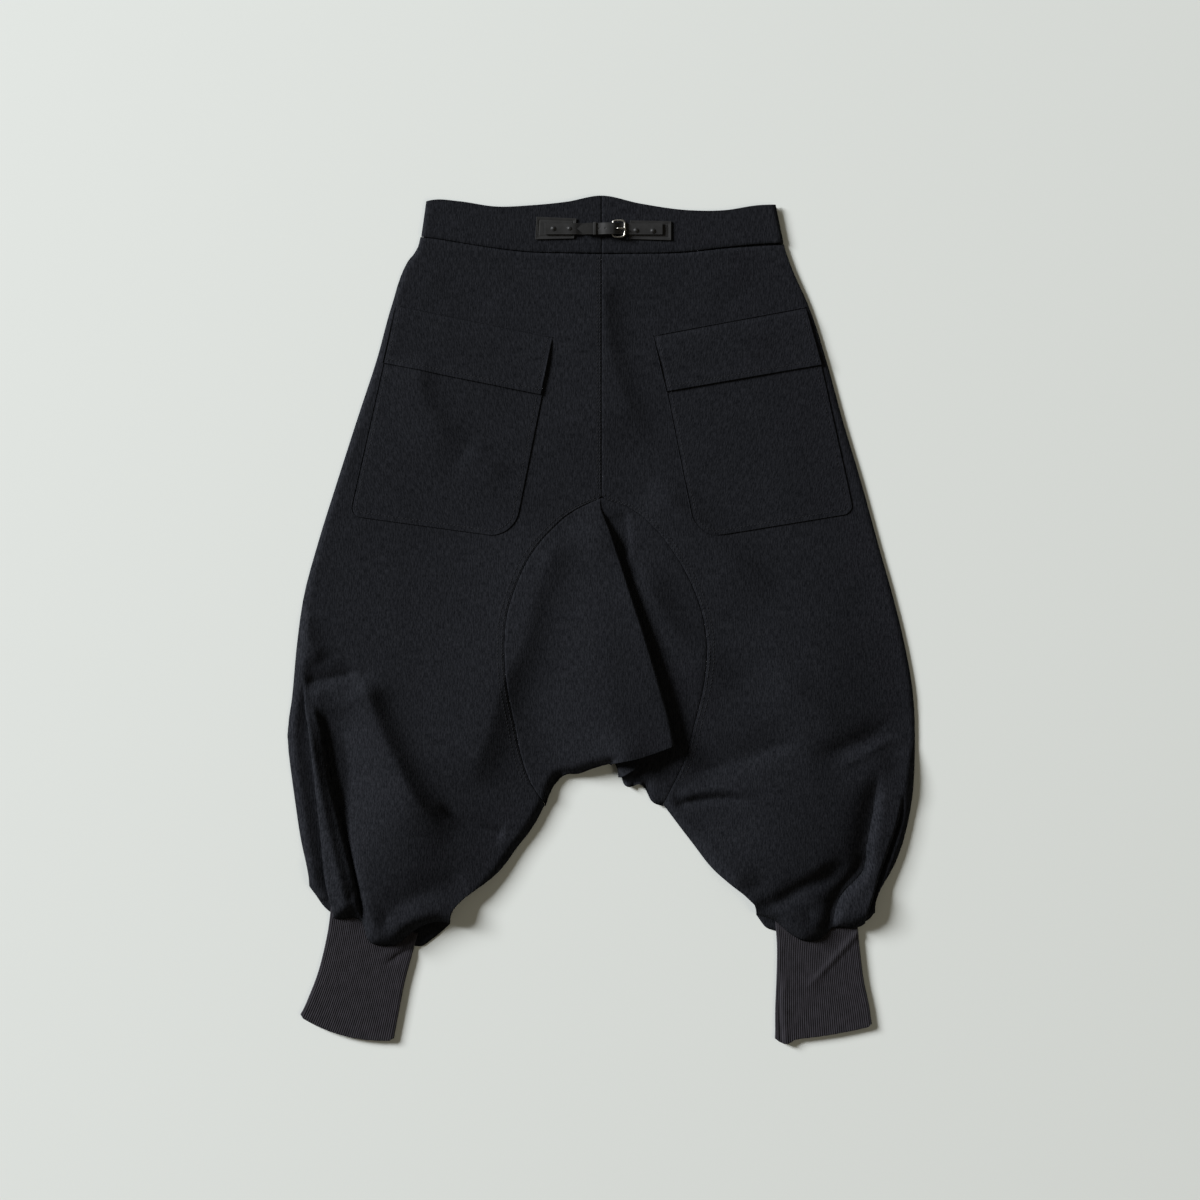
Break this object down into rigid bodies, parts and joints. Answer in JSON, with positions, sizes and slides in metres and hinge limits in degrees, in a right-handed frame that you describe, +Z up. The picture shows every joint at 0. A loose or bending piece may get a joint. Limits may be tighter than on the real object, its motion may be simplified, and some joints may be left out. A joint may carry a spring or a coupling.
{
  "type": "drop-crotch harem trousers",
  "caption": "Dark woven drop-crotch harem trousers with ribbed cuffs, flap pockets and a buckled leather back cinch, laid flat back up.",
  "frame": {"origin": "middle of the garment's outline, on the surface that it lies on", "axes": "+X across the garment towards its right-hand side as seen from above with the waist up, +Y towards the waist, +Z up from the surface"},
  "size_m": [0.7213, 0.9704, 0.022],
  "materials": {
    "cloth": "matte woven, dark navy charcoal with a fine vertical slub",
    "rib_knit": "matte rib knit, dark brownish charcoal",
    "leather": "smooth black leather, slightly glossy",
    "metal": "darkened nickel"
  },
  "bodies": {
    "root": {"waistband_back_left": "cloth", "waistband_back_right": "cloth", "waistband_front": "cloth", "back_left": "cloth", "back_right": "cloth", "front_left": "cloth", "front_right": "cloth", "gusset_back": "cloth", "gusset_front": "cloth", "pocket_left": "cloth", "pocket_right": "cloth", "flap_left": "cloth", "flap_right": "cloth", "cuff_left": "rib_knit", "cuff_right": "rib_knit", "tab_left": "leather", "tab_right": "leather", "strap_left": "leather", "strap_right": "leather", "keeper": "leather", "buckle_frame": "metal", "prong": "metal", "rivet_1": "metal", "rivet_2": "metal", "rivet_3": "metal", "rivet_4": "metal"}
  },
  "joints": []
}
